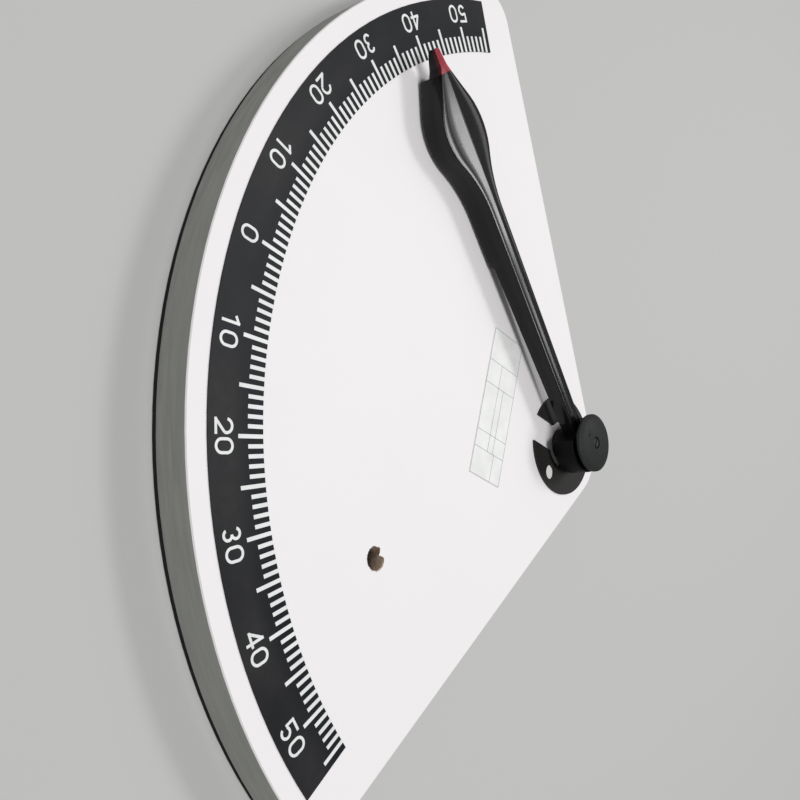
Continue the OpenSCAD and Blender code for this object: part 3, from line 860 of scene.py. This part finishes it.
def add_rules():
    low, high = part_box("rating_label")
    middle = box_centre("rating_label")
    line = 0.28
    inset = 0.3
    print_t = 0.03
    sunk = 0.01
    width = (high[0] - low[0]) / MM
    height = (high[2] - low[2]) / MM
    top = heights("rating_label")[1] - sunk
    left = -width / 2 + inset
    bottom = -height / 2 + inset
    strokes = []
    for share in COLUMNS:
        x = left + (width - 2 * inset) * share
        strokes.append((x - line / 2, bottom, x + line / 2, bottom + height - 2 * inset))
    for share, start, end in ROWS:
        z = bottom + (height - 2 * inset) * share
        x = left + (width - 2 * inset) * start
        strokes.append((x, z - line / 2, x + (width - 2 * inset) * (end - start), z + line / 2))
    points = []
    faces = []
    for x0, z0, x1, z1 in strokes:
        base = len(points)
        for h in (top, top + print_t):
            for x, z in ((x0, z0), (x1, z0), (x1, z1), (x0, z1)):
                points.append(Vector((middle.x + x * MM, FACE_Y - h * MM, middle.z + z * MM)))
        for face in BOX_FACES:
            faces.append(tuple(base + i for i in face))
    add_piece("label_rules", mesh_of("label_rules", points, faces), "rating_label", PRINT_GREY)


# Nut, cap and board, which get more than rounded edges

def add_rear_nut():
    """Hexagon nut with its corners chamfered on both sides."""
    low, high = heights("rear_nut")
    first_corner, last_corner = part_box("rear_nut")
    corner_r = (last_corner[0] - first_corner[0]) / 2 / MM
    flat_r = (last_corner[2] - first_corner[2]) / 2 / MM
    chamfer_in = 0.25
    chamfer_angle = math.radians(30)
    core_r = 0.4
    face_r = flat_r - chamfer_in
    drop = (corner_r - flat_r + chamfer_in) * math.tan(chamfer_angle)
    outline = [(core_r, low), (face_r, low), (corner_r, low + drop), (corner_r, high - drop),
               (face_r, high), (core_r, high)]
    blank = turned("blank", lambda angle: outline, on_face(0, 0))
    mesh = combine(cad_mesh("rear_nut"), blank, "INTERSECT")
    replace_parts(add_piece("rear_nut_chamfered", mesh, "rear_nut", round_edges=0.08), "rear_nut")


def add_cap():
    """The cap with the faint mark of its moulding gate."""
    top = heights("pivot_cap")[1]
    gate_x, gate_z = -0.9, -6.2
    gate_r = 0.55
    gate_depth = 0.3
    gate_low = top - gate_depth
    core_r = 0.05
    gate = [(core_r, gate_low), (gate_r, gate_low), (gate_r, top + PAST), (core_r, top + PAST)]
    dimple = turned("gate", lambda angle: gate, on_face(gate_x, gate_z), steps=24)
    mesh = combine(cad_mesh("pivot_cap"), dimple, "DIFFERENCE")
    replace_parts(add_piece("pivot_cap_rounded", mesh, "pivot_cap", round_edges=0.25), "pivot_cap")


def add_board():
    """The board, its sawn edge darkened with painted shade and its recess bare."""
    board = add_piece("board_rounded", cad_mesh("board"), "board", round_edges=0.15)
    board.data.materials.append(SHADED_BOARD_EDGE)
    board.data.materials.append(BARE_FIBRE)
    # The side faces take the grey of the painted shade
    edge, bare = 1, 2
    side_tilt = 0.5
    foot_low, foot_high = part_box("pivot_foot")
    reach = (foot_high[0] - foot_low[0]) / 2
    for polygon in board.data.polygons:
        if abs(polygon.normal.y) < side_tilt:
            polygon.material_index = bare if from_axis(polygon) < reach else edge
    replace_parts(board, "board")


# Nodes that need no more than rounded edges, with the width of the rounding in mm
ROUNDED = {
    "scale_band": 0.1,
    "rating_label": 0.05,
    "pivot_foot": 0.2,
    "pivot_stud": 0.2,
    "rear_washer": 0.2,
    "lock_washer": 0.15,
    "rear_thrust_washer": 0.12,
    "front_thrust_washer": 0.12,
    "front_nut": 0.15,
    "cap_screw": 0.1,
    "hub_bush": 0.15,
    "pointer_ballast": 0.4,
    "ballast_screws": 0.12,
}


def add_pieces():
    add_board()
    for node, size in ROUNDED.items():
        round_node(node, size)
    add_rear_nut()
    add_cap()
    add_holes()
    add_rules()
    add_moulding()
    add_tip()


# Stage: the flat surface that the board hangs on, seen from in front only. Light from behind
# passes it where it is about as near to the board as the gap, so that the board's back is lit.

# Sizes in metres
STAGE_GAP = 0.0022
NEAR_STAGE = 1.8 * STAGE_GAP
# Thickness and black of the painted shadow sheet behind the board
GAP_SHADOW_T = 0.00005
BACKDROP_HALF = 3.0
BACKDROP_GREY = (0.53, 0.53, 0.52)
GAP_SHADOW_BLACK = (0.03, 0.03, 0.03)


def stage_material(name, color):
    """A matt surface that is clear from behind and to light that comes from close by."""
    surface = Surface(name, color, 0.9, specular=0.0)
    geometry = surface.node("ShaderNodeNewGeometry")
    clear = surface.node("ShaderNodeBsdfTransparent")
    mix = surface.node("ShaderNodeMixShader")
    close = surface.node("ShaderNodeMath", operation="LESS_THAN")
    close.inputs[1].default_value = NEAR_STAGE
    unseen = surface.node("ShaderNodeMath", operation="MAXIMUM")
    links = surface.tree.links
    links.new(surface.node("ShaderNodeLightPath").outputs["Ray Length"], close.inputs[0])
    links.new(geometry.outputs["Backfacing"], unseen.inputs[0])
    links.new(close.outputs["Value"], unseen.inputs[1])
    links.new(unseen.outputs["Value"], mix.inputs["Fac"])
    links.new(surface.shader.outputs["BSDF"], mix.inputs[1])
    links.new(clear.outputs["BSDF"], mix.inputs[2])
    links.new(mix.outputs["Shader"], surface.tree.nodes["Material Output"].inputs["Surface"])
    return surface.material


def add_flat(name, points, faces, color):
    """Adds a flat mesh to the stage."""
    mesh = bpy.data.meshes.new(name)
    mesh.from_pydata(points, [], faces)
    mesh.materials.append(stage_material(name, color))
    add_object(name, mesh)


def add_stage():
    """The backdrop, and on it a black sheet of the board's outline, which fills the gap: a painted shadow under
    the board's edge.
    """
    half = BACKDROP_HALF
    corners = [(x * half, STAGE_GAP, z * half) for x, z in ((-1, -1), (1, -1), (1, 1), (-1, 1))]
    add_flat("backdrop", corners, [(0, 1, 2, 3)], BACKDROP_GREY)
    # Painted shadow: a black sheet in the board's outline, just behind the board
    board = frame["nodes"]["board"].data
    points = [(vertex.co.x, STAGE_GAP - GAP_SHADOW_T, vertex.co.z) for vertex in board.vertices]
    flush = 0.0001
    square_on = 0.9
    back_faces = [polygon for polygon in board.polygons
                  if polygon.normal.y > square_on and abs(polygon.center.y) < flush]
    faces = [tuple(reversed(polygon.vertices)) for polygon in back_faces]
    add_flat("painted_gap_shadow", points, faces, GAP_SHADOW_BLACK)


# Lights: a pale surrounding, a broad soft key in front, three smaller ones above that the
# glossy pointer mirrors, and one behind

AMBIENT = 0.25
# From the origin to each lamp, in metres
DISTANCE = 1.5
LAMPS = {
    "key": {"toward": (0.13, -1, -0.11), "size": 0.7, "power": 12.7},
    "kicker": {"toward": (-0.58, -1, 0.63), "size": 0.34, "power": 4.4},
    "fill": {"toward": (-0.85, -1, 0.87), "size": 0.5, "power": 1.0},
    "streak": {"toward": (-0.38, -1, 0.82), "size": 0.25, "power": 1.6},
    "back": {"toward": (0.04, 1, 0.08), "size": 0.35, "power": 9},
}


def add_lights():
    world = bpy.data.worlds.new("world")
    bpy.context.scene.world = world
    world.use_nodes = True
    background = world.node_tree.nodes["Background"]
    background.inputs["Color"].default_value = (1, 1, 1, 1)
    background.inputs["Strength"].default_value = AMBIENT
    for name, lamp in LAMPS.items():
        data = bpy.data.lights.new(name, "AREA")
        data.shape = "DISK"
        data.size = lamp["size"]
        data.energy = lamp["power"]
        light = add_object(name, data)
        toward = Vector(lamp["toward"]).normalized()
        light.location = DISTANCE * toward
        light.rotation_euler = toward.to_track_quat("Z", "Y").to_euler()


# The scene, put together

def dress_nodes():
    """Gives every CAD node the material of its slot."""
    for node, slot in SLOTS.items():
        mesh = frame["nodes"][node].data
        mesh.materials.clear()
        mesh.materials.append(MATERIALS[slot])


bpy.context.scene.view_settings.view_transform = "Standard"
add_camera()
dress_nodes()
add_pieces()
add_stage()
add_lights()
